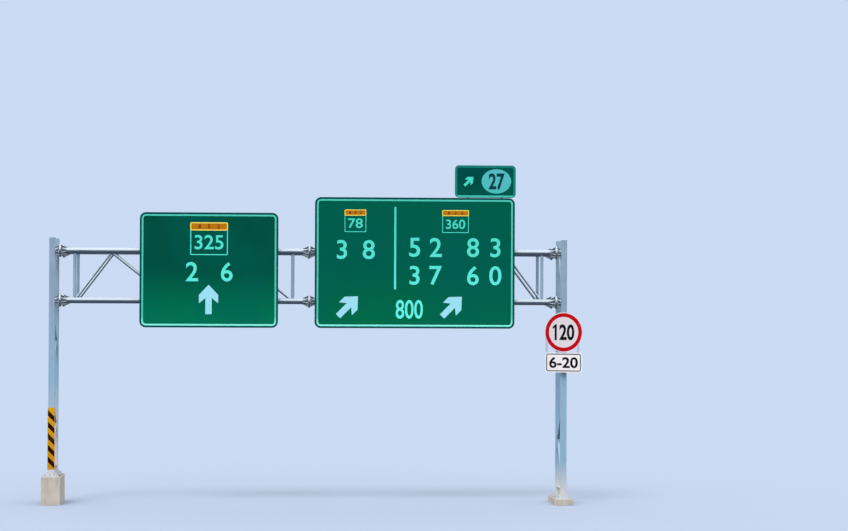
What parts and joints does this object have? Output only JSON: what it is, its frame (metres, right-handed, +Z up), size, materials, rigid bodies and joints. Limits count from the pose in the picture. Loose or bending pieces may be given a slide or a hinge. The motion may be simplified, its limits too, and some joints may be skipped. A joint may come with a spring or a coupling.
{
  "type": "overhead sign gantry",
  "caption": "Overhead road sign gantry: a bolted box truss of round tube on paired square posts, carrying green direction panels, an exit tab and a round speed sign",
  "frame": {"origin": "middle of the left plinth's underside, halfway between the front and rear frames and under the left leg axis", "axes": "+X along the span from the left leg to the right leg, +Y from the front of the panels to their back (the panels face -Y), +Z up"},
  "size_m": [17.4697, 2.3535, 11.042],
  "materials": {
    "painted_steel": "light grey-blue paint over zinc, satin, slightly weathered",
    "galvanised_steel": "dull hot-dip zinc with faint spangle",
    "panel_rails": "mill finish extrusion",
    "green_sheeting": "green retroreflective sheeting on aluminium sheet, smooth, low gloss",
    "white_sheeting": "white retroreflective sheeting on aluminium sheet",
    "yellow_sheeting": "yellow retroreflective sheeting on aluminium sheet",
    "concrete": "cast concrete, matte, pale beige-grey"
  },
  "bodies": {
    "root": {"left_plinth": "concrete", "right_plinth": "concrete", "left_base_plates": "painted_steel", "right_base_plates": "painted_steel", "left_front_post": "painted_steel", "left_rear_post": "painted_steel", "right_front_post": "painted_steel", "right_rear_post": "painted_steel", "left_leg_bracing": "painted_steel", "right_leg_bracing": "painted_steel", "left_chord_stubs": "painted_steel", "right_chord_stubs": "painted_steel", "left_front_top_chord": "painted_steel", "left_front_bottom_chord": "painted_steel", "left_rear_top_chord": "painted_steel", "left_rear_bottom_chord": "painted_steel", "right_front_top_chord": "painted_steel", "right_front_bottom_chord": "painted_steel", "right_rear_top_chord": "painted_steel", "right_rear_bottom_chord": "painted_steel", "left_front_web": "painted_steel", "left_rear_web": "painted_steel", "right_front_web": "painted_steel", "right_rear_web": "painted_steel", "left_top_bracing": "painted_steel", "left_bottom_bracing": "painted_steel", "right_top_bracing": "painted_steel", "right_bottom_bracing": "painted_steel", "left_sign_panel": "green_sheeting", "left_sign_rails": "panel_rails", "left_sign_joists": "galvanised_steel", "left_sign_clamps": "galvanised_steel", "right_sign_panel": "green_sheeting", "right_sign_rails": "panel_rails", "right_sign_joists": "galvanised_steel", "right_sign_clamps": "galvanised_steel", "exit_tab_panel": "green_sheeting", "exit_tab_rails": "panel_rails", "exit_tab_joists": "galvanised_steel", "speed_sign_disc": "white_sheeting", "speed_sign_plate": "white_sheeting", "speed_sign_rails": "panel_rails", "speed_sign_arms": "galvanised_steel", "speed_sign_clamps": "galvanised_steel", "hazard_board": "yellow_sheeting"}
  },
  "joints": []
}
